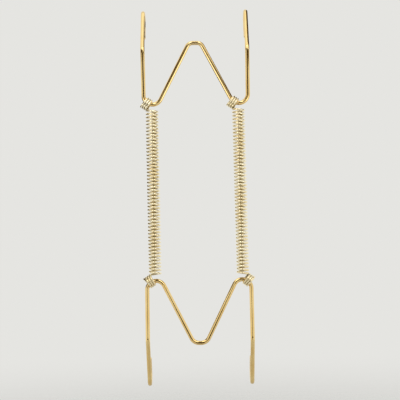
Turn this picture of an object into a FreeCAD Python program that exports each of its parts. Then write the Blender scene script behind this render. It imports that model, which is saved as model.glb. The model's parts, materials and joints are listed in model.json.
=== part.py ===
import FreeCAD, Part
import math
import os

import Sketcher

# Wire plate hanger: two bows of bent wire, hooked together by two extension springs.
# Millimetres and degrees. +Z is up, +X is to the right seen from the wall, and +Y points
# from the wall to the plate. The origin is the underside of the upper bow's hanging bend,
# where the nail bears.

SIZES = [
    ("bow_wire", 2.2, "diameter of the bow wire"),
    ("leg_spacing", 53.5, "between the centrelines of a bow's two legs"),
    ("trough_bend", 4.6, "centreline radius of the bend between a leg and the V"),
    ("bow_distance", 90.6, "from the upper troughs to the lower ones, on centrelines"),
    ("bow_lean", 11.0, "by which a bow's flat part leans from the springs to the wall"),
    ("upper_v_height", 31.2, "from the trough to the point of the upper V, on centrelines"),
    ("upper_nail_flat", 2.4, "straight stretch at the point of the upper V"),
    ("upper_nail_bend", 3.0, "centreline radius beside that stretch"),
    ("upper_kink_height", 28.5, "from the trough to the kink in an upper leg"),
    ("upper_kink_angle", 53.3, "by which the kink turns an upper leg to the plate"),
    ("upper_hook_height", 46.1, "from the trough to the outside of an upper hook"),
    ("lower_v_height", 32.3, "from the trough to the point of the lower V, on centrelines"),
    ("lower_nail_flat", 1.0, "straight stretch at the point of the lower V"),
    ("lower_nail_bend", 4.4, "centreline radius beside that stretch"),
    ("lower_kink_height", 31.0, "from the trough to the kink in a lower leg"),
    ("lower_kink_angle", 49.4, "by which the kink turns a lower leg to the plate"),
    ("lower_hook_height", 51.8, "from the trough to the outside of a lower hook"),
    ("kink_bend", 3.0, "centreline radius of a kink"),
    ("hook_bend", 4.65, "centreline radius of a rim hook"),
    ("hook_tip", 8.0, "straight length of a hook past its bend"),
    ("tip_rounding", 0.7, "rounding of a hook's cut end"),
    ("spring_wire", 1.1, "diameter of the spring wire"),
    ("coil_diameter", 5.6, "mean diameter of a spring's coil"),
    ("coil_turns", 48, "turns of the left spring's coil"),
    ("loop_diameter", 5.6, "mean diameter of a spring's end loop"),
    ("loop_turns", 3, "turns in an end loop"),
    ("loop_pitch", 1.16, "from turn to turn in an end loop"),
    ("loop_lean", 35.0, "by which a loop leans from the spring's axis"),
    ("loop_clearance", 0.5, "between a loop and the wire that it hooks, at rest"),
]

LEFT = -1
RIGHT = 1
UP = 1
DOWN = -1


class Sizes:
    """The spreadsheet's driving dimensions, each an attribute of its own name."""

    def __init__(self, sheet):
        for name, _, _ in SIZES:
            setattr(self, name, float(sheet.get(name)))


def make_sheet(doc):
    """Write each size, its name and its meaning to one row of the spreadsheet."""
    sheet = doc.addObject("Spreadsheet::Sheet", "Sizes")
    for row, (name, value, meaning) in enumerate(SIZES, start=1):
        sheet.set(f"A{row}", name)
        sheet.set(f"B{row}", str(value))
        sheet.set(f"C{row}", meaning)
        sheet.setAlias(f"B{row}", name)
    doc.recompute()
    return sheet


def point(x, y):
    """A point of a sketch."""
    return FreeCAD.Vector(x, y, 0)


def line(start, end):
    """A straight stretch of a sketch."""
    return Part.LineSegment(start, end)


def arc(centre, radius, start_deg, end_deg):
    """A bend of a sketch, counter-clockwise from start to end."""
    circle = Part.Circle(centre, FreeCAD.Vector(0, 0, 1), radius)
    return Part.ArcOfCircle(circle, math.radians(start_deg), math.radians(end_deg))


def attach(body, name, role, offset=None):
    """Add a sketch on one of the body's origin planes, moved along its normal by an expression."""
    plane = next(p for p in body.Origin.OriginFeatures if p.Role == role)
    sketch = body.newObject("Sketcher::SketchObject", name)
    sketch.AttachmentSupport = (plane, [""])
    sketch.MapMode = "FlatFace"
    if offset:
        sketch.setExpression("AttachmentOffset.Base.z", offset)
    return sketch


def drive(sketch, name, expression, *constraint):
    """Add a dimension to a sketch and bind it to the spreadsheet."""
    index = sketch.addConstraint(Sketcher.Constraint(*constraint))
    sketch.renameConstraint(index, name)
    sketch.setExpression(f"Constraints.{name}", expression)


def join_smoothly(sketch, joints):
    """Make each pair of ends meet with one tangent."""
    for first, first_end, second, second_end in joints:
        sketch.addConstraint(Sketcher.Constraint("Tangent", first, first_end, second, second_end))


# The bows

def leg_top(sizes, kink_height, kink_angle):
    """Height at which a leg's straight run ends and its kink starts."""
    return kink_height - sizes.kink_bend * math.tan(math.radians(kink_angle) / 2)


def sketch_front_run(sizes, body, which, leg_end, leg_end_expression):
    """The part of a bow that lies flat: leg, trough, V, trough and leg, in the XZ plane.

    A V arm is the crossed tangent of the trough's circle and the circle of the bend at the
    V's point, which gives its slope.
    """
    v_height = getattr(sizes, f"{which}_v_height")
    flat = getattr(sizes, f"{which}_nail_flat")
    nail_bend = getattr(sizes, f"{which}_nail_bend")
    leg_x = sizes.leg_spacing / 2
    trough_x = leg_x - sizes.trough_bend
    across = trough_x - flat / 2
    down = v_height - nail_bend - sizes.trough_bend
    bends = sizes.trough_bend + nail_bend
    slope = math.atan2(across, down) - math.asin(bends / math.hypot(across, down))
    slope_deg = math.degrees(slope)

    arm_low = point(
        trough_x - sizes.trough_bend * math.cos(slope),
        sizes.trough_bend * (1 - math.sin(slope)),
    )
    arm_high = point(
        flat / 2 + nail_bend * math.cos(slope),
        v_height - nail_bend * (1 - math.sin(slope)),
    )
    nail_y = v_height - nail_bend

    def mirrored(p):
        return point(-p.x, p.y)

    sketch = attach(body, f"{which}_front_run", "XZ_Plane")
    left_leg = sketch.addGeometry(line(point(-leg_x, leg_end), point(-leg_x, sizes.trough_bend)))
    left_trough = sketch.addGeometry(
        arc(point(-trough_x, sizes.trough_bend), sizes.trough_bend, 180, 360 - slope_deg))
    left_arm = sketch.addGeometry(line(mirrored(arm_low), mirrored(arm_high)))
    left_nail = sketch.addGeometry(arc(point(-flat / 2, nail_y), nail_bend, 90, 180 - slope_deg))
    top = sketch.addGeometry(line(point(-flat / 2, v_height), point(flat / 2, v_height)))
    right_nail = sketch.addGeometry(arc(point(flat / 2, nail_y), nail_bend, slope_deg, 90))
    right_arm = sketch.addGeometry(line(arm_high, arm_low))
    right_trough = sketch.addGeometry(
        arc(point(trough_x, sizes.trough_bend), sizes.trough_bend, 180 + slope_deg, 360))
    right_leg = sketch.addGeometry(line(point(leg_x, sizes.trough_bend), point(leg_x, leg_end)))

    start, end, centre = 1, 2, 3
    origin, vertical = (-1, 1), -2
    join_smoothly(sketch, [
        (left_leg, end, left_trough, start),
        (left_trough, end, left_arm, start),
        (left_arm, end, left_nail, end),
        (left_nail, start, top, start),
        (top, end, right_nail, end),
        (right_nail, start, right_arm, start),
        (right_arm, end, right_trough, start),
        (right_trough, end, right_leg, start),
    ])
    for leg in (left_leg, right_leg):
        sketch.addConstraint(Sketcher.Constraint("Vertical", leg))
    sketch.addConstraint(Sketcher.Constraint("Symmetric", left_leg, start, right_leg, end, vertical))
    sketch.addConstraint(Sketcher.Constraint("Symmetric", top, start, top, end, vertical))
    sketch.addConstraint(Sketcher.Constraint("Horizontal", left_trough, centre, right_trough, centre))
    sketch.addConstraint(Sketcher.Constraint("Equal", left_trough, right_trough))
    sketch.addConstraint(Sketcher.Constraint("Equal", left_nail, right_nail))
    drive(sketch, "trough_bend", "Sizes.trough_bend", "Radius", left_trough, sizes.trough_bend)
    drive(sketch, "nail_bend", f"Sizes.{which}_nail_bend", "Radius", left_nail, nail_bend)
    drive(sketch, "nail_flat", f"Sizes.{which}_nail_flat", "DistanceX", top, start, top, end, flat)
    drive(sketch, "leg_spacing", "Sizes.leg_spacing",
          "DistanceX", left_leg, start, right_leg, end, sizes.leg_spacing)
    drive(sketch, "v_height", f"Sizes.{which}_v_height", "DistanceY", *origin, top, start, v_height)
    drive(sketch, "trough_height", "Sizes.trough_bend",
          "DistanceY", *origin, left_trough, centre, sizes.trough_bend)
    drive(sketch, "leg_end", leg_end_expression, "DistanceY", *origin, left_leg, start, leg_end)
    return sketch


def sketch_section(sizes, body, which, leg_end_expression):
    """The wire's round section, on the end of the left leg's straight run."""
    sketch = attach(body, f"{which}_section", "XY_Plane", leg_end_expression)
    circle = Part.Circle(point(-sizes.leg_spacing / 2, 0), FreeCAD.Vector(0, 0, 1), sizes.bow_wire / 2)
    section = sketch.addGeometry(circle)
    sketch.addConstraint(Sketcher.Constraint("PointOnObject", section, 3, -1))
    drive(sketch, "leg_x", "Sizes.leg_spacing / 2",
          "DistanceX", section, 3, -1, 1, sizes.leg_spacing / 2)
    drive(sketch, "bow_wire", "Sizes.bow_wire", "Diameter", section, sizes.bow_wire)
    return sketch


def sketch_rim_run(sizes, body, which, leg_end, leg_end_expression):
    """The part of a leg that reaches for the rim: kink, slope, hook and tip, in a YZ plane.

    Returns the sketch and the middle of the tip's cut end, as (y, z).
    """
    angle_deg = getattr(sizes, f"{which}_kink_angle")
    angle = math.radians(angle_deg)
    along = point(math.sin(angle), math.cos(angle))
    inward = point(math.cos(angle), -math.sin(angle))
    hook_height = getattr(sizes, f"{which}_hook_height")
    crown = sizes.hook_bend * (1 - math.sin(angle)) + sizes.bow_wire / 2

    kink_start = point(0, leg_end)
    kink_centre = point(sizes.kink_bend, leg_end)
    kink_end = kink_centre - inward * sizes.kink_bend
    slope_length = (hook_height - crown - kink_end.y) / along.y
    hook_start = kink_end + along * slope_length
    hook_centre = hook_start + inward * sizes.hook_bend
    hook_end = hook_centre + inward * sizes.hook_bend
    tip_end = hook_end - along * sizes.hook_tip

    sketch = attach(body, f"{which}_rim_run", "YZ_Plane", "-Sizes.leg_spacing / 2")
    kink = sketch.addGeometry(arc(kink_centre, sizes.kink_bend, 180 - angle_deg, 180))
    slope = sketch.addGeometry(line(kink_end, hook_start))
    hook = sketch.addGeometry(arc(hook_centre, sizes.hook_bend, -angle_deg, 180 - angle_deg))
    tip = sketch.addGeometry(line(hook_end, tip_end))

    start, end, centre = 1, 2, 3
    origin, vertical = (-1, 1), -2
    join_smoothly(sketch, [
        (kink, start, slope, start),
        (slope, end, hook, end),
        (hook, start, tip, start),
    ])
    sketch.addConstraint(Sketcher.Constraint("PointOnObject", kink, end, vertical))
    sketch.addConstraint(Sketcher.Constraint("Horizontal", kink, centre, kink, end))
    sketch.addConstraint(Sketcher.Constraint("Parallel", slope, tip))
    drive(sketch, "leg_end", leg_end_expression, "DistanceY", *origin, kink, end, kink_start.y)
    drive(sketch, "kink_bend", "Sizes.kink_bend", "Radius", kink, sizes.kink_bend)
    drive(sketch, "hook_bend", "Sizes.hook_bend", "Radius", hook, sizes.hook_bend)
    drive(sketch, "hook_tip", "Sizes.hook_tip", "Distance", tip, start, tip, end, sizes.hook_tip)
    drive(sketch, "kink_angle", f"Sizes.{which}_kink_angle * 1 deg",
          "Angle", slope, start, vertical, 1, angle)
    drive(sketch, "hook_start",
          f"Sizes.{which}_hook_height - Sizes.bow_wire / 2"
          f" - Sizes.hook_bend * (1 - sin(Sizes.{which}_kink_angle * 1 deg))",
          "DistanceY", *origin, slope, end, hook_start.y)
    return sketch, tip_end


def sweep(body, name, section, path):
    """Carry the wire's section along a sketched path."""
    pipe = body.newObject("PartDesign::AdditivePipe", name)
    pipe.Profile = (section, [""])
    pipe.Spine = (path, [""])
    body.Document.recompute()
    return pipe


def edges_round(feature, centres):
    """Names of the feature's edges that are circles about one of the centres."""
    names = []
    for number, edge in enumerate(feature.Shape.Edges, start=1):
        if isinstance(edge.Curve, Part.Circle) and edge.isClosed():
            if any(edge.Curve.Center.isEqual(c, 1e-4) for c in centres):
                names.append(f"Edge{number}")
    return names


def make_bow(doc, sizes, which):
    """One bow in its own frame: trough bottoms at z = 0, V and hooks up, hooks to +Y."""
    kink_height = getattr(sizes, f"{which}_kink_height")
    kink_angle = getattr(sizes, f"{which}_kink_angle")
    leg_end = leg_top(sizes, kink_height, kink_angle)
    leg_end_expression = (
        f"Sizes.{which}_kink_height"
        f" - Sizes.kink_bend * tan(Sizes.{which}_kink_angle * 0.5 deg)")

    body = doc.addObject("PartDesign::Body", f"{which}_bow")
    body.Label = f"{which}_bow"
    section = sketch_section(sizes, body, which, leg_end_expression)
    front_run = sketch_front_run(sizes, body, which, leg_end, leg_end_expression)
    rim_run, tip = sketch_rim_run(sizes, body, which, leg_end, leg_end_expression)
    doc.recompute()

    sweep(body, f"{which}_front_wire", section, front_run)
    rim_wire = sweep(body, f"{which}_rim_wire", section, rim_run)
    both_rims = body.newObject("PartDesign::Mirrored", f"{which}_both_rims")
    both_rims.Originals = [rim_wire]
    both_rims.MirrorPlane = (next(p for p in body.Origin.OriginFeatures if p.Role == "YZ_Plane"), [""])
    body.Tip = both_rims
    doc.recompute()

    tips = [FreeCAD.Vector(side * sizes.leg_spacing / 2, tip.x, tip.y) for side in (LEFT, RIGHT)]
    rounding = body.newObject("PartDesign::Fillet", f"{which}_tip_rounding")
    rounding.Base = (both_rims, edges_round(both_rims, tips))
    rounding.setExpression("Radius", "Sizes.tip_rounding")
    body.Tip = rounding
    doc.recompute()
    return body


def place_bow(body, turn, depth, height):
    """Turn a bow and bring its troughs to their place, all by expressions."""
    body.setExpression("Placement", f"placement(vector(0; {depth}; {height}); {turn})")


# The springs

def loop_crossings(sizes, side, end):
    """Where an end loop crosses the XZ plane, from its free end to the coil.

    The loop is a short stack of turns along the bow's wire. It leaves the coil at the given
    side and leans over the trough, so that the wire lies in it, against its far side. Near
    crossings lie on the coil's side of the wire and far ones beyond it. The last point is the
    near crossing that the coil starts from. Points are (x, z) from the trough's lowest point.
    """
    lean = math.radians(sizes.loop_lean)
    outward = FreeCAD.Vector(-side * math.sin(lean), 0, end * math.cos(lean))
    along = FreeCAD.Vector(-side * math.cos(lean), 0, -end * math.sin(lean))
    seat = FreeCAD.Vector(
        side * sizes.trough_bend * math.sin(lean),
        0,
        end * sizes.trough_bend * (1 - math.cos(lean)),
    )
    far = (sizes.bow_wire + sizes.spring_wire) / 2 + sizes.loop_clearance
    turns = int(round(sizes.loop_turns))
    points = []
    for half in range(2 * turns + 1):
        reach = far if half % 2 else far - sizes.loop_diameter
        stack = (half - turns) / 2 * sizes.loop_pitch
        points.append(seat + outward * reach + along * stack)
    return points


def spring_crossings(sizes, half_turns, top_side, bottom_side):
    """Where a whole spring crosses the XZ plane, from its upper free end to its lower one."""
    radius = FreeCAD.Vector(sizes.coil_diameter / 2, 0, 0)
    lower_trough = FreeCAD.Vector(0, 0, -sizes.bow_distance)
    top = loop_crossings(sizes, top_side, UP)
    bottom = [lower_trough + p for p in loop_crossings(sizes, bottom_side, DOWN)]
    axis_top = top[-1] - radius * top_side
    axis_bottom = bottom[-1] - radius * bottom_side
    coil = []
    for half in range(half_turns + 1):
        side = top_side if half % 2 == 0 else -top_side
        coil.append(axis_top + (axis_bottom - axis_top) * (half / half_turns) + radius * side)
    return top[:-1] + coil + bottom[-2::-1]


def spring_line(crossings, top_side):
    """The spring's centreline: half a circle from each crossing to the next.

    The half circles lie in turn before and behind the XZ plane and cross it square on, so each
    runs smoothly into the next. A left-hand coil descends to the right on the wall's side.
    """
    edges = []
    for number, (first, second) in enumerate(zip(crossings, crossings[1:])):
        to_wall = (number % 2 == 0) == (top_side == LEFT)
        bulge = FreeCAD.Vector(0, -1 if to_wall else 1, 0) * (first.distanceToPoint(second) / 2)
        edges.append(Part.Arc(first, (first + second) / 2 + bulge, second).toShape())
    return Part.Wire(edges)


def make_spring(doc, sizes, name, half_turns, top_side, bottom_side):
    """One spring in its own frame, with the upper trough's lowest point at the origin."""
    crossings = spring_crossings(sizes, half_turns, top_side, bottom_side)
    path = doc.addObject("Part::Feature", f"{name}_line")
    path.Shape = spring_line(crossings, top_side)

    section = doc.addObject("Part::Circle", f"{name}_section")
    section.setExpression("Radius", "Sizes.spring_wire / 2")
    section.Placement = FreeCAD.Placement(
        crossings[0], FreeCAD.Rotation(FreeCAD.Vector(0, 0, 1), FreeCAD.Vector(0, 1, 0)))

    spring = doc.addObject("Part::Sweep", name)
    spring.Label = name
    spring.Sections = [section]
    spring.Spine = (path, [])
    spring.Solid = True
    doc.recompute()
    return spring


def place_spring(spring, side, depth, height):
    """Hang a spring in its trough."""
    sign = "-" if side == LEFT else ""
    spring.setExpression(".Placement.Base.x", f"{sign}(Sizes.leg_spacing / 2 - Sizes.trough_bend)")
    spring.setExpression(".Placement.Base.y", depth)
    spring.setExpression(".Placement.Base.z", height)


# The whole hanger

def check(doc, parts):
    """Stop if any object failed or any sub-part is empty or unsound."""
    for obj in doc.Objects:
        if "Invalid" in obj.State or "Error" in obj.State:
            raise RuntimeError(f"{obj.Name} failed: {obj.State}")
    for part in parts:
        if part.Shape.isNull() or not part.Shape.isValid():
            raise RuntimeError(f"{part.Label} has no sound shape")
        if len(part.Shape.Solids) != 1:
            raise RuntimeError(f"{part.Label} has {len(part.Shape.Solids)} solids")


def main():
    doc = FreeCAD.newDocument("plate_hanger")
    sizes = Sizes(make_sheet(doc))

    # Both bows lean back, so that the points of their Vs stand nearer to the wall than the springs.
    depth = "Sizes.upper_v_height * sin(Sizes.bow_lean * 1 deg)"
    upper_trough = "Sizes.bow_wire / 2 - Sizes.upper_v_height * cos(Sizes.bow_lean * 1 deg)"
    lower_trough = f"{upper_trough} - Sizes.bow_distance"
    lean = "rotation(vector(1; 0; 0); Sizes.bow_lean * 1 deg)"
    upside_down = "rotation(vector(1; 0; 0); -Sizes.bow_lean * 1 deg) * rotation(vector(0; 1; 0); 180 deg)"

    upper_bow = make_bow(doc, sizes, "upper")
    place_bow(upper_bow, lean, depth, upper_trough)
    lower_bow = make_bow(doc, sizes, "lower")
    place_bow(lower_bow, upside_down, depth, lower_trough)

    # The right spring has half a turn more, so its lower loop leaves the coil on the other side.
    half_turns = 2 * int(round(sizes.coil_turns))
    left_spring = make_spring(doc, sizes, "left_spring", half_turns, LEFT, LEFT)
    place_spring(left_spring, LEFT, depth, upper_trough)
    right_spring = make_spring(doc, sizes, "right_spring", half_turns + 1, LEFT, RIGHT)
    place_spring(right_spring, RIGHT, depth, upper_trough)
    doc.recompute()

    parts = [upper_bow, lower_bow, left_spring, right_spring]
    check(doc, parts)
    os.makedirs("parts", exist_ok=True)
    for part in parts:
        part.Shape.exportStep(f"parts/{part.Label}.step")
        box = part.Shape.BoundBox
        print(f"{part.Label}: {part.Shape.Volume:.1f} mm3,"
              f" x {box.XMin:.2f} to {box.XMax:.2f}, y {box.YMin:.2f} to {box.YMax:.2f},"
              f" z {box.ZMin:.2f} to {box.ZMax:.2f}")


main()
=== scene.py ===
# %% [markdown]
# # A wire hanger with springs
#
# The hanger is two bows of bent, brass-plated wire that two extension springs draw together.
# Four hooks at its ends hold what is hung up, and the point of the upper V goes over a nail. The
# solid model already has the right forms and movements, so this lesson loads it as a fixed frame
# and only makes the looks: finer wires, the metal, a plain studio and the camera.

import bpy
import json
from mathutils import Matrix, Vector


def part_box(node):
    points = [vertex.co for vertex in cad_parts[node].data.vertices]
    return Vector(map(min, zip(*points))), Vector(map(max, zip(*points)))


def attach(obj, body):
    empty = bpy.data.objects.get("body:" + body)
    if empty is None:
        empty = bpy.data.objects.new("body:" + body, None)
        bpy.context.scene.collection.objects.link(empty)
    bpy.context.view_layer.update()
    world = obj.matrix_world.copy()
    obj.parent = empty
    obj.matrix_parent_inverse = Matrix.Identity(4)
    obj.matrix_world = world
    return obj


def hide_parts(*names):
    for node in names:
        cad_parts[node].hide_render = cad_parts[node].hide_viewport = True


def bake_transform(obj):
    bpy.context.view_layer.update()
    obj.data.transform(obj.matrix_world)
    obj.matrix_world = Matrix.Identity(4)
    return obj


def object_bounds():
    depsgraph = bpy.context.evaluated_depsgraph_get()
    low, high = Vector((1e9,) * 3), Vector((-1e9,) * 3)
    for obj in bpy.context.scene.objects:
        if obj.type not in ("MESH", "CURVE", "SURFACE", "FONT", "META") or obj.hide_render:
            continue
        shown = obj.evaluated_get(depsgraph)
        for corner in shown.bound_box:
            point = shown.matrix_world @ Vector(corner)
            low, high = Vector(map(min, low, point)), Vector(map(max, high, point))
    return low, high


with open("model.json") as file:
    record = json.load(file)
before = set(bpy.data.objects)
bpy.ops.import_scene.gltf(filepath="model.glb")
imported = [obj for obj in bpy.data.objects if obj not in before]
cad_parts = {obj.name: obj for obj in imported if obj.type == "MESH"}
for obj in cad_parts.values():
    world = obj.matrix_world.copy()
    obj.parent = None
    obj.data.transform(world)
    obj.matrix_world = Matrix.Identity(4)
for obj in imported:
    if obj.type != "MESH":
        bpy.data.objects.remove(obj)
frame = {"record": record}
cad_low, cad_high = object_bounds()

# %% [markdown]
# ## Sizes
#
# Metres throughout. The legs' places and the heights of the troughs, the round bends that the
# springs hook on, are read from the loaded solids, so that the new wires lie where the solids
# are. What a box can't tell, such as the radius of a wire or of a bend, is named here.

# %% Read places from the solids and name the bends
import json
import math

import bpy
import numpy as np

upper_low, upper_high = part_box("upper_bow")
_, lower_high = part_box("lower_bow")
spring_low, spring_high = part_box("left_spring")

BOW_RADIUS = 0.0011
SPRING_RADIUS = 0.00055
BOW_LEAN = math.radians(11.0)
LEG_X = upper_high.x - BOW_RADIUS
TROUGH_BEND = 0.0046
TROUGH_X = LEG_X - TROUGH_BEND
TROUGH_DEPTH = (spring_low.y + spring_high.y) / 2
UPPER_TROUGH = upper_low.z + BOW_RADIUS
LOWER_TROUGH = lower_high.z - BOW_RADIUS
KINK_BEND = 0.0030
HOOK_BEND = 0.00465
HOOK_TIP = 0.0080
TIP_ROUNDING = 0.0007

UPPER = {"sign": 1, "trough": UPPER_TROUGH, "v_height": 0.0312, "flat": 0.0024, "nail_bend": 0.0030,
         "kink_height": 0.0285, "kink_angle": math.radians(53.3), "hook_height": 0.0461}
LOWER = {"sign": -1, "trough": LOWER_TROUGH, "v_height": 0.0323, "flat": 0.0010, "nail_bend": 0.0044,
         "kink_height": 0.0310, "kink_angle": math.radians(49.4), "hook_height": 0.0518}
print(f"legs at x = {LEG_X:.5f}, troughs at z = {UPPER_TROUGH:.5f} and {LOWER_TROUGH:.5f}")

# %% [markdown]
# ## A path of straight runs and bends
#
# A wire former pushes straight wire past a pin, so a bow is a chain of straight runs and round
# bends that meet without a corner. A Bezier curve with a round bevel would come close, but its
# bends aren't circles. Here each run and bend is an array of points with the wire's direction
# at each of them, worked out from the same formula as the real bend.

# %% Straight runs and bends
RUN_STEP = 0.0015
BEND_STEP = math.radians(6)


def run(start, end):
    """Points evenly from start to end, all with the one direction end - start."""
    start, end = np.array(start, float), np.array(end, float)
    length = np.linalg.norm(end - start)
    share = np.linspace(0, 1, max(2, round(length / RUN_STEP)))[:, None]
    points = start + share * (end - start)
    return points, np.repeat((end - start)[None] / length, len(points), axis=0)


def bend(centre, spoke, heading, angle):
    """Points centre + spoke cos a + |spoke| heading sin a, for a from 0 to angle.

    spoke leads from the centre to the first point, and heading is the direction there.
    """
    centre, spoke, heading = (np.array(v, float) for v in (centre, spoke, heading))
    radius = np.linalg.norm(spoke)
    a = np.linspace(0, angle, max(3, math.ceil(abs(angle) / BEND_STEP)))[:, None]
    points = centre + spoke * np.cos(a) + radius * heading * np.sin(a)
    return points, heading * np.cos(a) - spoke / radius * np.sin(a)


quarter, _ = bend((0, 0, 0), (0, 0, TROUGH_BEND), (1, 0, 0), math.pi / 2)
print("points in a quarter of a bend:", len(quarter))

# %% [markdown]
# ## The bow's path
#
# One half of a bow goes from the middle of the V's point over a bend, down the V's arm, round
# the trough, up the leg, over the kink, along the sloping leg and round the hook to its tip. The
# arm is the common tangent of two circles, which gives its slope. The other half is the mirror
# image, so only one half is worked out.

# %% From the V to the leg
def leg_end(bow):
    """The kink's height less the bend's radius times the tangent of half its angle."""
    return bow["kink_height"] - KINK_BEND * math.tan(bow["kink_angle"] / 2)


def v_and_leg(bow):
    """Runs and bends of the flat part of a bow's right half, the trough's bottom at height 0.

    The arm leans from the upright by the angle of the line between the two bends' centres, less
    the arcsine of the sum of their radii over that line's length.
    """
    flat, nail = bow["flat"] / 2, bow["nail_bend"]
    across = TROUGH_X - flat
    down = bow["v_height"] - nail - TROUGH_BEND
    slope = math.atan2(across, down) - math.asin((TROUGH_BEND + nail) / math.hypot(across, down))
    normal = np.array((math.cos(slope), 0, math.sin(slope)))
    arm = np.array((math.sin(slope), 0, -math.cos(slope)))
    nail_centre = np.array((flat, 0, bow["v_height"] - nail))
    trough_centre = np.array((TROUGH_X, 0, TROUGH_BEND))
    return [
        run((0, 0, bow["v_height"]), (flat, 0, bow["v_height"])),
        bend(nail_centre, (0, 0, nail), (1, 0, 0), math.pi / 2 - slope),
        run(nail_centre + nail * normal, trough_centre - TROUGH_BEND * normal),
        bend(trough_centre, -TROUGH_BEND * normal, arm, math.pi - slope),
        run((LEG_X, 0, TROUGH_BEND), (LEG_X, 0, leg_end(bow))),
    ]


print("points from the V to the leg:", [len(points) for points, _ in v_and_leg(UPPER)])

# %% From the kink to the tip of the hook
def slope_and_hook(bow):
    """Runs and bends from the kink to the tip, all at the leg's x.

    The sloping leg ends where a half circle from its end has the crown at the hook's height.
    """
    angle = bow["kink_angle"]
    along = np.array((0, math.sin(angle), math.cos(angle)))
    inward = np.array((0, math.cos(angle), -math.sin(angle)))
    kink_centre = np.array((LEG_X, KINK_BEND, leg_end(bow)))
    kink_end = kink_centre - inward * KINK_BEND
    hook_start_z = bow["hook_height"] - BOW_RADIUS - HOOK_BEND * (1 - math.sin(angle))
    hook_start = kink_end + along * (hook_start_z - kink_end[2]) / along[2]
    hook_centre = hook_start + inward * HOOK_BEND
    hook_end = hook_centre + inward * HOOK_BEND
    return [
        bend(kink_centre, (0, -KINK_BEND, 0), (0, 0, 1), angle),
        run(kink_end, hook_start),
        bend(hook_centre, -HOOK_BEND * inward, along, math.pi),
        run(hook_end, hook_end - along * (HOOK_TIP - TIP_ROUNDING)),
    ]


print("points from the kink to the tip:", [len(points) for points, _ in slope_and_hook(UPPER)])

# %% Half a bow, and the whole by mirroring it
SAME_PLACE = 1e-7


def half_bow(bow):
    """Points, directions and section axes of a bow's right half, without doubled points.

    The first axis of the section is +Y while the wire lies flat. Past the kink the second one
    stays along X, and the first turns with the wire, so the section never twists.
    """
    flat_part, hook_part = v_and_leg(bow), slope_and_hook(bow)
    points = np.concatenate([p for p, _ in flat_part + hook_part])
    headings = np.concatenate([h for _, h in flat_part + hook_part])
    flat_rings = sum(len(p) for p, _ in flat_part)
    axes = np.cross((-1, 0, 0), headings)
    axes[:flat_rings] = (0, 1, 0)
    keep = np.ones(len(points), bool)
    keep[1:] = np.linalg.norm(np.diff(points, axis=0), axis=1) > SAME_PLACE
    return points[keep], headings[keep], axes[keep]


def whole_bow(bow):
    """Both halves as one path from tip to tip, leaned back and brought to the trough's place.

    The left half is the right one backwards with x negated, and the lower bow has z negated.
    """
    points, headings, axes = half_bow(bow)
    mirror = np.array((-1, 1, 1))
    points = np.concatenate([points[:0:-1] * mirror, points])
    headings = np.concatenate([-headings[:0:-1] * mirror, headings])
    axes = np.concatenate([axes[:0:-1] * mirror, axes])
    c, s = math.cos(BOW_LEAN), math.sin(BOW_LEAN)
    lean = np.array(((1, 0, 0), (0, c, -s), (0, s, c)))
    upright = np.array((1, 1, bow["sign"]))
    place = np.array((0, TROUGH_DEPTH, bow["trough"]))
    points, headings, axes = ((v @ lean.T) * upright for v in (points, headings, axes))
    return points + place, headings, axes


upper_path = whole_bow(UPPER)
lower_path = whole_bow(LOWER)
print("rings along the bows:", len(upper_path[0]), "and", len(lower_path[0]))

# %% [markdown]
# ## A wire along a path
#
# A wire is a circle carried along its path. Every ring of vertices is the same circle in the
# plane across the path, so the whole wire is one grid, rings along it and steps round it, and
# whole arrays fill it without a loop over vertices. Each end is rounded by a few shrinking
# rings and closed by a fan round one vertex in the middle.

# %% Rounded ends
END_RINGS = 6


def add_ends(points, headings, axes, radius, rounding):
    """Add shrinking rings at both ends: at depth rounding sin a, radius - rounding (1 - cos a).

    a goes from 0 to a quarter turn. Also gives the radius of every ring.
    """
    a = np.linspace(0, math.pi / 2, END_RINGS + 1)[1:, None]
    first = points[0] - headings[0] * rounding * np.sin(a[::-1])
    last = points[-1] + headings[-1] * rounding * np.sin(a)
    ends = radius - rounding * (1 - np.cos(a[:, 0]))
    radii = np.concatenate([ends[::-1], np.full(len(points), radius), ends])
    repeat = np.clip(np.arange(-END_RINGS, len(points) + END_RINGS), 0, len(points) - 1)
    return np.concatenate([first, points, last]), headings[repeat], axes[repeat], radii


upper_rings = add_ends(*upper_path, BOW_RADIUS, TIP_ROUNDING)
lower_rings = add_ends(*lower_path, BOW_RADIUS, TIP_ROUNDING)
print("rings with the ends:", len(upper_rings[0]), "and", len(lower_rings[0]))

# %% Vertices and faces
BOW_STEPS = 40


def ring_angles(steps):
    """The angles j / steps of a full turn, for j from 0 to steps - 1."""
    return np.arange(steps) / steps * 2 * math.pi


def wire_vertices(points, headings, axes, radii, steps):
    """Grid vertex (i, j) is points[i] + radii[i] (axes[i] cos b + (headings[i] x axes[i]) sin b).

    b is angle j of the ring. The middles of the two ends come after the grid.
    """
    b = ring_angles(steps)
    sides = np.cross(headings, axes)
    circle = axes[:, None] * np.cos(b)[None, :, None] + sides[:, None] * np.sin(b)[None, :, None]
    grid = points[:, None] + radii[:, None, None] * circle
    return np.concatenate([grid.reshape(-1, 3), points[:1], points[-1:]])


def wire_faces(rings, steps):
    """Vertices (i, j), (i, j + 1), (i + 1, j + 1) and (i + 1, j) are a face, and each end is a fan.

    The step after a ring's last is its first, which closes the wire all round.
    """
    index = np.arange(rings * steps).reshape(rings, steps)
    beside = np.roll(index, -1, axis=1)
    quads = np.stack([index[:-1], beside[:-1], beside[1:], index[1:]], axis=-1).reshape(-1, 4)
    first, last = rings * steps, rings * steps + 1
    start_fan = np.stack([beside[0], index[0], np.full(steps, first)], axis=-1)
    end_fan = np.stack([index[-1], beside[-1], np.full(steps, last)], axis=-1)
    return quads.tolist() + start_fan.tolist() + end_fan.tolist()


print("faces of the upper bow:", len(wire_faces(len(upper_rings[0]), BOW_STEPS)))

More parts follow.
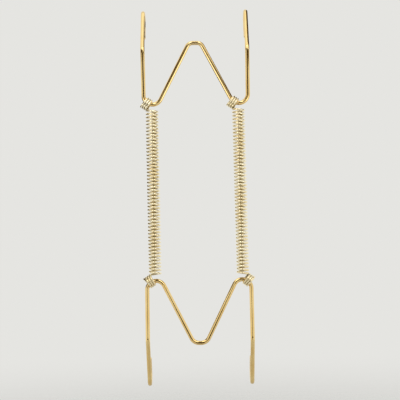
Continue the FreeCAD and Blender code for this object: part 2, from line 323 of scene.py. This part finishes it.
# %% [markdown]
# Each vertex also remembers where it was on the straight wire before bending, because the
# metal's fine drawing lines follow the wire round every bend. Such a value per vertex is an
# attribute of the mesh, and a material can read it.

# %% Make the two bows
def straight_places(points, radii, steps):
    """Vertex (i, j) was at radii[i] cos b, radii[i] sin b and the path's length up to ring i.

    b is angle j of the ring. The middles of the two ends come after the grid.
    """
    b = ring_angles(steps)
    lengths = np.r_[0, np.cumsum(np.linalg.norm(np.diff(points, axis=0), axis=1))]
    straight = np.empty((len(points), steps, 3))
    straight[..., 0] = radii[:, None] * np.cos(b)
    straight[..., 1] = radii[:, None] * np.sin(b)
    straight[..., 2] = lengths[:, None]
    ends = np.array(((0, 0, 0), (0, 0, lengths[-1])))
    return np.concatenate([straight.reshape(-1, 3), ends])


def store(mesh, name, kind, values):
    """Keep one value per vertex on the mesh."""
    attribute = mesh.attributes.new(name, kind, "POINT")
    field = "vector" if kind == "FLOAT_VECTOR" else "value"
    attribute.data.foreach_set(field, np.ravel(values).astype(np.float32))


def wire(name, points, headings, axes, radii, steps):
    """A new piece from the rings of a wire, smooth, with its vertices' places on the straight wire."""
    faces = wire_faces(len(points), steps)
    straight = straight_places(points, radii, steps)
    mesh = bpy.data.meshes.new(name)
    mesh.from_pydata(wire_vertices(points, headings, axes, radii, steps).tolist(), [], faces)
    mesh.polygons.foreach_set("use_smooth", np.ones(len(mesh.polygons), bool))
    store(mesh, "straight", "FLOAT_VECTOR", straight)
    piece = bpy.data.objects.new(name, mesh)
    bpy.context.collection.objects.link(piece)
    print(f"{name}: {len(faces)} faces, {straight[-1, 2]:.4f} m of wire")
    return piece


upper_bow = wire("upper_bow_wire", *upper_rings, BOW_STEPS)
lower_bow = wire("lower_bow_wire", *lower_rings, BOW_STEPS)

# %% Compare the bows with the solids
def vertex_places(piece):
    """The piece's vertices as an array."""
    places = np.empty(len(piece.data.vertices) * 3, np.float32)
    piece.data.vertices.foreach_get("co", places)
    return places.reshape(-1, 3)


def compare(piece, node):
    """Print how far a new wire's box is from the solid's."""
    low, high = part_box(node)
    places = vertex_places(piece)
    off = np.abs(np.r_[places.min(0) - np.array(low), places.max(0) - np.array(high)]).max()
    print(f"{piece.name}: within {off * 1000:.3f} mm of the solid's box")


compare(upper_bow, "upper_bow")
compare(lower_bow, "lower_bow")

# %% [markdown]
# ## The springs
#
# An extension spring is wound in one go: three turns of a leaning loop over the bow's trough,
# the long coil, and three turns of the lower loop. Seen from the wall each turn crosses the
# middle plane twice, and from one crossing to the next the wire goes half round a circle, in
# front of the plane and behind it in turn. So the path is a row of crossings with a half circle
# between each two of them.

# %% Crossings of the loops and the coil
COIL_RADIUS = 0.0028
COIL_HALF_TURNS = 96
LOOP_DIAMETER = 0.0056
LOOP_TURNS = 3
LOOP_PITCH = 0.00116
LOOP_LEAN = math.radians(35.0)
LOOP_CLEARANCE = 0.0005
LEFT, RIGHT, UP, DOWN = -1, 1, 1, -1


def loop_crossings(side, end):
    """Crossings (x, z) of an end loop, from its free end to the coil.

    They lie by turns beyond the bow's wire and on the coil's side of it, and step along it.
    """
    outward = np.array((-side * math.sin(LOOP_LEAN), end * math.cos(LOOP_LEAN)))
    along = np.array((-side * math.cos(LOOP_LEAN), -end * math.sin(LOOP_LEAN)))
    seat = TROUGH_BEND * np.array((side * math.sin(LOOP_LEAN), end * (1 - math.cos(LOOP_LEAN))))
    far = BOW_RADIUS + SPRING_RADIUS + LOOP_CLEARANCE
    half = np.arange(2 * LOOP_TURNS + 1)[:, None]
    reach = np.where(half % 2 == 1, far, far - LOOP_DIAMETER)
    return seat + reach * outward + (half - LOOP_TURNS) / 2 * LOOP_PITCH * along


def spring_crossings(half_turns, top_side, bottom_side):
    """All crossings (x, z) of a spring from end to end, the upper trough's bottom at (0, 0).

    The coil's crossings step evenly down its axis, one radius to either side of it in turn.
    """
    radius = np.array((COIL_RADIUS, 0))
    top = loop_crossings(top_side, UP)
    bottom = loop_crossings(bottom_side, DOWN) + np.array((0, LOWER_TROUGH - UPPER_TROUGH))
    axis_top = top[-1] - radius * top_side
    axis_bottom = bottom[-1] - radius * bottom_side
    half = np.arange(half_turns + 1)[:, None]
    side = np.where(half % 2 == 0, top_side, -top_side)
    coil = axis_top + (axis_bottom - axis_top) * half / half_turns + radius * side
    return np.concatenate([top[:-1], coil, bottom[-2::-1]])


left_crossings = spring_crossings(COIL_HALF_TURNS, LEFT, LEFT)
right_crossings = spring_crossings(COIL_HALF_TURNS + 1, LEFT, RIGHT)
print("crossings:", len(left_crossings), "and", len(right_crossings))

# %% [markdown]
# The planes of two half circles that meet lean a little to either side. If each ring started
# from its own plane, the grid would jump where they meet. The small turn from plane to plane is
# therefore added up along the spring and taken off each ring's starting angle.

# %% Half circles into a path
HALF_TURN_RINGS = 20
END_ROUNDING = 0.00012


def spring_path(crossings, trough_x):
    """Points, directions and section axes of a spring, and the way out of its turns at each point.

    From crossing to crossing the point is middle + spoke cos a + |spoke| bulge sin a, for a from
    0 to half a turn, where bulge is -Y and +Y in turn.
    """
    place = np.array((trough_x, TROUGH_DEPTH, UPPER_TROUGH))
    crossings = np.insert(crossings, 1, 0, axis=1) + place
    middle = (crossings[:-1] + crossings[1:]) / 2
    spoke = (crossings[:-1] - crossings[1:]) / 2
    radius = np.linalg.norm(spoke, axis=1, keepdims=True)
    bulge = np.zeros_like(spoke)
    bulge[:, 1] = np.where(np.arange(len(spoke)) % 2 == 0, -1, 1)

    a = np.repeat(np.linspace(0, math.pi, HALF_TURN_RINGS + 1)[None], len(spoke), axis=0)
    a[0] = np.linspace(END_ROUNDING / radius[0, 0], math.pi, HALF_TURN_RINGS + 1)
    a[-1] = np.linspace(0, math.pi - END_ROUNDING / radius[-1, 0], HALF_TURN_RINGS + 1)
    a = a[..., None]
    points = middle[:, None] + spoke[:, None] * np.cos(a) + (radius * bulge)[:, None] * np.sin(a)
    headings = bulge[:, None] * np.cos(a) - (spoke / radius)[:, None] * np.sin(a)

    normal = np.cross(spoke / radius, bulge)
    turn = np.einsum("ij,ij->i", np.cross(normal[:-1], normal[1:]), bulge[1:])
    offset = -np.r_[0, np.cumsum(np.arcsin(turn))][:, None, None]
    outward = np.cross(headings, normal[:, None])
    axes = normal[:, None] * np.cos(offset) + outward * np.sin(offset)

    jump = np.abs(axes[:-1, -1] - axes[1:, 0]).max()
    print(f"largest jump of the section where two half circles meet: {jump:.1e}")
    grids = (points, headings, axes, outward)
    return [np.concatenate([v[0, :1], v[:, 1:].reshape(-1, 3)]) for v in grids]


*left_path, left_outward = spring_path(left_crossings, -TROUGH_X)
*right_path, right_outward = spring_path(right_crossings, TROUGH_X)

# %% Make the two springs
SPRING_STEPS = 20

left_rings = add_ends(*left_path, SPRING_RADIUS, END_ROUNDING)
right_rings = add_ends(*right_path, SPRING_RADIUS, END_ROUNDING)
left_spring = wire("left_spring_wire", *left_rings, SPRING_STEPS)
right_spring = wire("right_spring_wire", *right_rings, SPRING_STEPS)
compare(left_spring, "left_spring")
compare(right_spring, "right_spring")

# %% [markdown]
# ## Movement
#
# Each bow moves with its own body of the frame. A spring reaches from one body to the next, and a
# real coil opens evenly between them, but here each spring only has its place baked into its mesh
# and is tied to no body.

# %% Tie the bows to the frame and hide the solids
def stretch_evenly(spring):
    """Bake the spring's place into its mesh."""
    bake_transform(spring)


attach(upper_bow, "upper_bow")
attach(lower_bow, "lower_bow")
stretch_evenly(left_spring)
stretch_evenly(right_spring)
for piece, node, slot in (
    (upper_bow, "upper_bow", "bow_wire"),
    (lower_bow, "lower_bow", "bow_wire"),
    (left_spring, "left_spring", "spring_wire"),
    (right_spring, "right_spring", "spring_wire"),
):
    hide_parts(node)

# %% [markdown]
# ## Worn places and painted shade
#
# Plating keeps its shine on the straight runs. On the bows it dulls where something rubs: the
# loops in the troughs, the nail in the V, and what the hooks hold. On the springs the innermost
# line of the turns and the flanks that touch in the loops are painted dark. This is painted shade
# for the shade that falls inside the coil and in the creases between touching turns, so those
# lines show dark between the turns. A texture couldn't find these places, but the path knows
# them, so each vertex gets a value between 0 and 1 and the finish reads it.

# %% Rubbed places of the bows
RUB_REACH = 0.0032
RUB_DEPTH = 0.6


def rubbed(bow, marks):
    """Store depth exp(-(d / reach)^2) for the distance d to the nearest mark."""
    distance = np.linalg.norm(vertex_places(bow)[:, None] - np.array(marks)[None], axis=2).min(axis=1)
    wear_and_shade = RUB_DEPTH * np.exp(-((distance / RUB_REACH) ** 2))
    store(bow.data, "wear_and_shade", "FLOAT", wear_and_shade)
    print(f"{bow.name}: rubbed at {len(marks)} places, dull by {wear_and_shade.max():.2f} at most")


def seat(side, trough_z, loop_side, end):
    """The point of a trough's wire that a loop bears on: its bottom, turned by the loop's lean."""
    x = side * TROUGH_X + loop_side * TROUGH_BEND * math.sin(LOOP_LEAN)
    return (x, TROUGH_DEPTH, trough_z + end * TROUGH_BEND * (1 - math.cos(LOOP_LEAN)))


def crown(hook):
    """The inner side of a hook's crown, from the hook's place in the record."""
    return np.array(hook["pos_m"]) - np.array(hook["axis"]) * (HOOK_BEND - BOW_RADIUS)


hook_mounts = [mount for mount in frame["record"]["mounts"] if mount["name"].endswith("hook")]
hooks = {hook["name"]: crown(hook) for hook in hook_mounts}
upper_seats = [seat(LEFT, UPPER_TROUGH, LEFT, UP), seat(RIGHT, UPPER_TROUGH, LEFT, UP)]
lower_seats = [seat(LEFT, LOWER_TROUGH, LEFT, DOWN), seat(RIGHT, LOWER_TROUGH, RIGHT, DOWN)]
nail = (0, 0, 0)
rubbed(upper_bow, [*upper_seats, hooks["upper_left_hook"], hooks["upper_right_hook"], nail])
rubbed(lower_bow, [*lower_seats, hooks["lower_left_hook"], hooks["lower_right_hook"]])

# %% Painted shade on the springs' inner lines and loop creases
SHADE_FROM = 0.80
SHADE_FULL = 0.98
TURN_RINGS = 2 * HALF_TURN_RINGS
HAIR_GAP = 0.00022
TOUCHING = 2 * SPRING_RADIUS + HAIR_GAP


def shaded_ways(centres, outward):
    """The ways from each ring along which shade falls and is painted: into its turn, and to a touching
    turn.

    The same place one turn on or back is TURN_RINGS rings away. It counts where it is closer than
    TOUCHING, as in the loops.
    """
    ways = [-outward]
    for turn in (TURN_RINGS, -TURN_RINGS):
        step = np.roll(centres, -turn, axis=0) - centres
        length = np.linalg.norm(step, axis=1, keepdims=True)
        ways.append(np.where(length < TOUCHING, step / length, 0))
    return ways


def paint_inner_shade(spring, centres, outward):
    """Store painted shade: how much a vertex faces a shaded way, from 0 at SHADE_FROM to 1 at
    SHADE_FULL.

    Facing is the cosine between the vertex's way out of the wire and the shaded way. The rings of a
    rounded end have the ways of the last full ring.
    """
    ring = np.clip(np.arange(len(centres)) - END_RINGS, 0, len(outward) - 1)
    around = vertex_places(spring)[:-2].reshape(len(centres), SPRING_STEPS, 3) - centres[:, None]
    ways = shaded_ways(centres[END_RINGS:-END_RINGS], outward)
    facing = np.max([np.einsum("ijk,ik->ij", around, way[ring]) for way in ways], axis=0)
    wear_and_shade = np.clip((facing / SPRING_RADIUS - SHADE_FROM) / (SHADE_FULL - SHADE_FROM), 0, 1)
    store(spring.data, "wear_and_shade", "FLOAT", np.r_[wear_and_shade.ravel(), 0, 0])
    print(f"{spring.name}: {np.mean(wear_and_shade):.0%} in painted shade")


# Painted shade on the springs: dark on the inner line of each turn and in the creases of the loops.
paint_inner_shade(left_spring, left_rings[0], left_outward)
paint_inner_shade(right_spring, right_rings[0], right_outward)

# %% [markdown]
# ## The plated finish
#
# The wires are steel with a bright brass plating, paler on the springs. Three things keep it from
# looking like a flat gold colour: fine lines along the wire from the drawing die, slow patches
# where the brass has warmed, and the worn places of the bows with the painted shade of the springs.
# The lines read the place on the straight wire, so they follow every bend, and a plain pattern in
# space is enough for the patches. A material is a tree of nodes, and two small helpers make a node
# and fill its inputs.

# %% Drawing lines
LINES_ACROSS = 5200
LINES_ALONG = 45
LINES_DETAIL = 3.0


def fill(tree, node, inputs):
    """Give each named input of a node its value, or a link where the value is another's output."""
    for name, value in inputs.items():
        if isinstance(value, bpy.types.NodeSocket):
            tree.links.new(value, node.inputs[name])
        else:
            node.inputs[name].default_value = value


def new_node(tree, kind, inputs, **settings):
    """A new node with its settings and inputs."""
    node = tree.nodes.new(kind)
    for name, value in settings.items():
        setattr(node, name, value)
    fill(tree, node, inputs)
    return node


def drawing_lines(tree):
    """Noise on the straight wire, quick across it and slow along it."""
    place = new_node(tree, "ShaderNodeAttribute", {}, attribute_name="straight")
    scale = (LINES_ACROSS, LINES_ACROSS, LINES_ALONG)
    drawn = new_node(tree, "ShaderNodeMapping", {"Vector": place.outputs["Vector"], "Scale": scale})
    noise = {"Vector": drawn.outputs["Vector"], "Scale": 1.0, "Detail": LINES_DETAIL}
    return new_node(tree, "ShaderNodeTexNoise", noise).outputs["Fac"]


print(f"a drawing line is about {1000 / LINES_ACROSS:.1f} mm wide and {1000 / LINES_ALONG:.0f} mm long")

# %% Warm patches
PATCHES = 160
PATCH_DETAIL = 4.0
BRIGHT_TO = 0.40
WARM_FROM = 0.72


def warm_patches(tree, bright, warm):
    """Noise in space as a tone: bright up to BRIGHT_TO, warm from WARM_FROM, even between them."""
    space = new_node(tree, "ShaderNodeTexCoord", {}).outputs["Object"]
    noise = {"Vector": space, "Scale": PATCHES, "Detail": PATCH_DETAIL}
    patches = new_node(tree, "ShaderNodeTexNoise", noise)
    tone = new_node(tree, "ShaderNodeValToRGB", {"Fac": patches.outputs["Fac"]})
    for stop, (position, colour) in enumerate(((BRIGHT_TO, bright), (WARM_FROM, warm))):
        tone.color_ramp.elements[stop].position = position
        tone.color_ramp.elements[stop].color = (*colour, 1)
    return tone.outputs["Color"]


print(f"a patch is about {1000 / PATCHES:.0f} mm wide")

# %% [markdown]
# One function makes both finishes from three colours each: bright, warm, and a third that is worn
# brass on the bows and painted shade on the springs. The lines break up the worn and shaded places,
# make the metal a little rougher and smoother by turns, and raise it by a hair.

# %% Brass finish
LINES_LOW, LINES_HIGH = 0.25, 0.75
STREAKS = (0.6, 1.0)
DULL_ROUGHNESS = 0.2
RELIEF_STRENGTH = 0.10
RELIEF_HEIGHT = 0.00002


def along_lines(tree, lines, low, high):
    """The lines' noise with LINES_LOW to LINES_HIGH stretched to the span from low to high."""
    span = {"From Min": LINES_LOW, "From Max": LINES_HIGH, "To Min": low, "To Max": high}
    return new_node(tree, "ShaderNodeMapRange", {"Value": lines, **span}).outputs["Result"]


def plated(name, bright, warm, wear_and_shade_colour, roughness):
    """A plated metal: bright colour, warmer patches, worn places and painted shade, and a span of
    roughness.

    A place's share of the third colour is its stored wear and painted shade times the streaks. Its
    colour goes from the tone of the patches to the third colour by that much, and its roughness grows
    by DULL_ROUGHNESS times it.
    """
    material = bpy.data.materials.new(name)
    material.use_nodes = True
    tree = material.node_tree
    lines = drawing_lines(tree)

    # Wear on the bows and painted shade on the springs, stored per vertex.
    stored = new_node(tree, "ShaderNodeAttribute", {}, attribute_name="wear_and_shade").outputs["Fac"]
    streaked = {0: stored, 1: along_lines(tree, lines, *STREAKS)}
    wear_and_shade = new_node(tree, "ShaderNodeMath", streaked, operation="MULTIPLY").outputs["Value"]
    tones = {"Factor": wear_and_shade, "A": warm_patches(tree, bright, warm), "B": (*wear_and_shade_colour, 1)}
    rough = {0: wear_and_shade, 1: DULL_ROUGHNESS, 2: along_lines(tree, lines, *roughness)}
    relief = {"Height": lines, "Strength": RELIEF_STRENGTH, "Distance": RELIEF_HEIGHT}
    fill(tree, tree.nodes["Principled BSDF"], {
        "Metallic": 1.0,
        "Base Color": new_node(tree, "ShaderNodeMix", tones, data_type="RGBA").outputs["Result"],
        "Roughness": new_node(tree, "ShaderNodeMath", rough, operation="MULTIPLY_ADD").outputs["Value"],
        "Normal": new_node(tree, "ShaderNodeBump", relief).outputs["Normal"],
    })
    return material


# Bright, warm and a third colour: worn brass on the bows, and on the springs a nearly black painted
# shade.
BOW_COLOURS = ((0.92, 0.69, 0.31), (0.84, 0.58, 0.22), (0.60, 0.48, 0.30))
SPRING_COLOURS = ((1.0, 0.91, 0.66), (0.94, 0.78, 0.45), (0.16, 0.12, 0.05))
bow_brass = plated("bow_brass", *BOW_COLOURS, roughness=(0.06, 0.14))
spring_brass = plated("spring_brass", *SPRING_COLOURS, roughness=(0.08, 0.18))
for piece, material in (
    (upper_bow, bow_brass),
    (lower_bow, bow_brass),
    (left_spring, spring_brass),
    (right_spring, spring_brass),
):
    piece.data.materials.append(material)
print("finishes:", bow_brass.name, "and", spring_brass.name)

# %% [markdown]
# ## A plain studio
#
# Bright metal has no look of its own: it shows what stands round it. In an all-pale room the wires
# would melt into the background, and a lamp alone gives them only one bright line. So the world
# is pale, large soft boxes give broad highlights, and dark cloths stand where a wire needs a dark
# line to read as round. The world sends less light than it shows, which leaves the level to the
# lamps: a mirror and the camera see it as pale as it is written.

# %% World
PALE = (0.785, 0.782, 0.755)
MIRRORED = (0.88, 0.876, 0.846)
AMBIENT = 0.55

scene = bpy.context.scene
world = bpy.data.worlds.new("studio")
scene.world = world
world.use_nodes = True
tree = world.node_tree
ray = new_node(tree, "ShaderNodeLightPath", {})
shown = tree.nodes["Background"]
fill(tree, shown, {"Color": (*PALE, 1), "Strength": AMBIENT})
for output, colour in (("Is Glossy Ray", MIRRORED), ("Is Camera Ray", PALE)):
    other = new_node(tree, "ShaderNodeBackground", {"Color": (*colour, 1)})
    choice = {"Fac": ray.outputs[output], 1: shown.outputs[0], 2: other.outputs[0]}
    shown = new_node(tree, "ShaderNodeMixShader", choice)
fill(tree, tree.nodes["World Output"], {"Surface": shown.outputs[0]})
print("world:", len(tree.nodes), "nodes")

# %% [markdown]
# The hanger hangs free, so the floor only closes the picture below. It lies low enough for the
# stretched springs to clear it and keeps the soft shadow. A gradient on a disc, which is 1 in the
# middle and 0 at the edge, is its alpha, so it fades out into the background.

# %% Floor
FLOOR_DROP = 0.030
FLOOR_RADIUS = 0.5
FLOOR_POINTS = 15
FLOOR_Z = cad_low.z - FLOOR_DROP


def grid_piece(name, points):
    """A stage piece from a grid of points, shape (rows, columns, 3), a face between each four."""
    rows, columns = points.shape[:2]
    index = np.arange(rows * columns).reshape(rows, columns)
    corners = (index[:-1, :-1], index[:-1, 1:], index[1:, 1:], index[1:, :-1])
    faces = np.stack(corners, axis=-1).reshape(-1, 4)
    mesh = bpy.data.meshes.new(name)
    mesh.from_pydata(points.reshape(-1, 3).tolist(), [], faces.tolist())
    piece = bpy.data.objects.new(name, mesh)
    bpy.context.collection.objects.link(piece)
    return piece


span = np.linspace(-FLOOR_RADIUS, FLOOR_RADIUS, FLOOR_POINTS)
floor_x, floor_y = np.meshgrid(span, span)
floor_z = np.full_like(floor_x, FLOOR_Z)
floor = grid_piece("floor", np.stack([floor_x, floor_y, floor_z], axis=-1))
print("floor", FLOOR_DROP, "m under the hooks")

# %% Pale floor that fades out
FLOOR_ROUGHNESS = 0.9

floor_finish = bpy.data.materials.new("pale_floor")
floor_finish.use_nodes = True
tree = floor_finish.node_tree
space = new_node(tree, "ShaderNodeTexCoord", {}).outputs["Object"]
size = (FLOOR_RADIUS, FLOOR_RADIUS, FLOOR_RADIUS)
disc = {"Vector": space, "Location": (0, 0, FLOOR_Z), "Scale": size}
shrunk = new_node(tree, "ShaderNodeMapping", disc, vector_type="TEXTURE")
place = {"Vector": shrunk.outputs["Vector"]}
fade = new_node(tree, "ShaderNodeTexGradient", place, gradient_type="QUADRATIC_SPHERE")
fill(tree, tree.nodes["Principled BSDF"], {
    "Base Color": (*PALE, 1),
    "Roughness": FLOOR_ROUGHNESS,
    "Alpha": fade.outputs["Fac"],
})
floor.data.materials.append(floor_finish)
print("the floor is gone", FLOOR_RADIUS, "m from the middle")

# %% [markdown]
# ## Dark cloths
#
# In a studio, dark cloth hangs where a bright thing should have a dark line. Far off, on the
# camera's side, a strip with a broad foot draws the line down the middle of each wire. A curtain
# beside the springs reaches behind them and darkens the left edge of their turns. Small flags
# darken only what is next to them: the outer sides of the upper V, the right edge of the sloping
# legs and the point of the lower V. Only mirror images show them. They hold back no light and cast
# no shadow.

# %% Screens of dark cloth
DARK = (0.14, 0.09, 0.03)
CLOTH_ROUGHNESS = 1.0
CLOTH_ROWS, CLOTH_COLUMNS = 9, 17

dark_finish = bpy.data.materials.new("dark_cloth")
dark_finish.use_nodes = True
tree = dark_finish.node_tree
fill(tree, tree.nodes["Principled BSDF"], {"Base Color": (*DARK, 1), "Roughness": CLOTH_ROUGHNESS})


def screen(name, around, radius, lift, foot, head):
    """A dark cloth on a ball of the radius round a place, between two elevations in degrees.

    Its sides go evenly from the two bearings of its foot to those of its head. A bearing of 0 is
    the camera's side, and 90 is to its right.
    """
    share, height = np.meshgrid(np.linspace(0, 1, CLOTH_COLUMNS), np.linspace(0, 1, CLOTH_ROWS))
    left = foot[0] + (head[0] - foot[0]) * height
    right = foot[1] + (head[1] - foot[1]) * height
    bearing = np.radians(left + (right - left) * share)
    elevation = np.radians(lift[0] + (lift[1] - lift[0]) * height)
    flat = np.cos(elevation)
    directions = [np.sin(bearing) * flat, -np.cos(bearing) * flat, np.sin(elevation)]
    piece = grid_piece(name, np.array(around) + radius * np.stack(directions, axis=-1))
    piece.data.materials.append(dark_finish)
    piece.visible_camera = False
    piece.visible_diffuse = False
    piece.visible_shadow = False
    print(f"{name}: {radius} m away, elevations {lift}")


MIDDLE = (0, TROUGH_DEPTH, (cad_low.z + cad_high.z) / 2)
UPPER_V = (0, 0, UPPER_TROUGH / 2)
RIGHT_ARM = (TROUGH_X / 2, 0, UPPER_TROUGH / 2)
LOWER_POINT = (0, 0, LOWER_TROUGH - LOWER["v_height"])
FAR, NEAR, BESIDE, CLOSE = 0.5, 0.13, 0.10, 0.06

screen("dark_foot", MIDDLE, FAR, lift=(-14, 5), foot=(-45, 45), head=(-20, 20))
screen("dark_strip", MIDDLE, FAR, lift=(5, 75), foot=(-13, 13), head=(-6, 6))
screen("left_curtain", MIDDLE, BESIDE, lift=(-14, 26), foot=(-140, -80), head=(-155, -80))
screen("left_flag", UPPER_V, NEAR, lift=(-4, 26), foot=(-100, -30), head=(-100, -30))
screen("right_flag", RIGHT_ARM, CLOSE, lift=(-4, 14), foot=(25, 90), head=(25, 90))
screen("rim_flag", UPPER_V, NEAR, lift=(10, 62), foot=(104, 165), head=(98, 140))
screen("low_flag", LOWER_POINT, NEAR, lift=(-60, -8), foot=(-15, 15), head=(-15, 15))

# %% [markdown]
# ## Lamps
#
# A large box overhead lights the sloping legs and the floor. One over the camera lights the turns
# of the springs. Two small ones from below brighten the inner sides of the upper V, and shine into
# a narrow cone, so that the lower V doesn't see them.

# %% Soft boxes
def soft_box(name, place, target, size, power, spread=180):
    """A square lamp at place that faces target, and shines into a cone of `spread` degrees.

    A lamp looks down. Its tilt is the angle from straight down to the target, and its yaw turns
    that way round to the target's bearing.
    """
    lamp = bpy.data.lights.new(name, "AREA")
    lamp.size = size
    lamp.energy = power
    lamp.spread = math.radians(spread)
    holder = bpy.data.objects.new(name, lamp)
    holder.location = place
    facing = np.array(target) - np.array(place)
    yaw = math.atan2(facing[1], facing[0]) - math.pi / 2
    tilt = math.acos(-facing[2] / np.linalg.norm(facing))
    holder.rotation_euler = (tilt, 0, yaw)
    holder.visible_camera = False
    bpy.context.collection.objects.link(holder)
    print(f"{name}: {size} m wide, {power} W")


OVER_THE_V = (0, 0, 0.06)
FILL_ASIDE, FILL_FORWARD, FILL_BELOW = 0.20, 0.16, 0.18
soft_box("top_box", place=(0.02, -0.12, 0.62), target=MIDDLE, size=0.9, power=0.75)
soft_box("front_box", place=(0, -0.40, 0.37), target=MIDDLE, size=0.5, power=1.1)
for name, side in (("left_fill", LEFT), ("right_fill", RIGHT)):
    fill_place = (side * FILL_ASIDE, -FILL_FORWARD, -FILL_BELOW)
    soft_box(name, place=fill_place, target=OVER_THE_V, size=0.14, power=0.011, spread=50)

# %% [markdown]
# ## The camera
#
# The hanger is seen square on from the wall's side, from about 0.8 m. The picture is 204 mm
# wide at the hanger, which gives the lens, and the hanger leans by one degree in it.

# %% Camera
VIEW_DISTANCE = 0.8
VIEW_SPAN = 0.2040
VIEW_X, VIEW_Z = 0.0012, -0.0790
VIEW_ROLL = math.radians(1.09)
NEAREST = 0.01

camera = bpy.data.objects.new("camera", bpy.data.cameras.new("camera"))
camera.data.lens = camera.data.sensor_width * VIEW_DISTANCE / VIEW_SPAN
camera.data.clip_start = NEAREST
camera.rotation_euler = (math.pi / 2, VIEW_ROLL, 0)
camera.location = (VIEW_X, -VIEW_DISTANCE, VIEW_Z)
bpy.context.collection.objects.link(camera)
scene.camera = camera
scene.view_settings.view_transform = "Standard"
print(f"lens {camera.data.lens:.1f} mm")
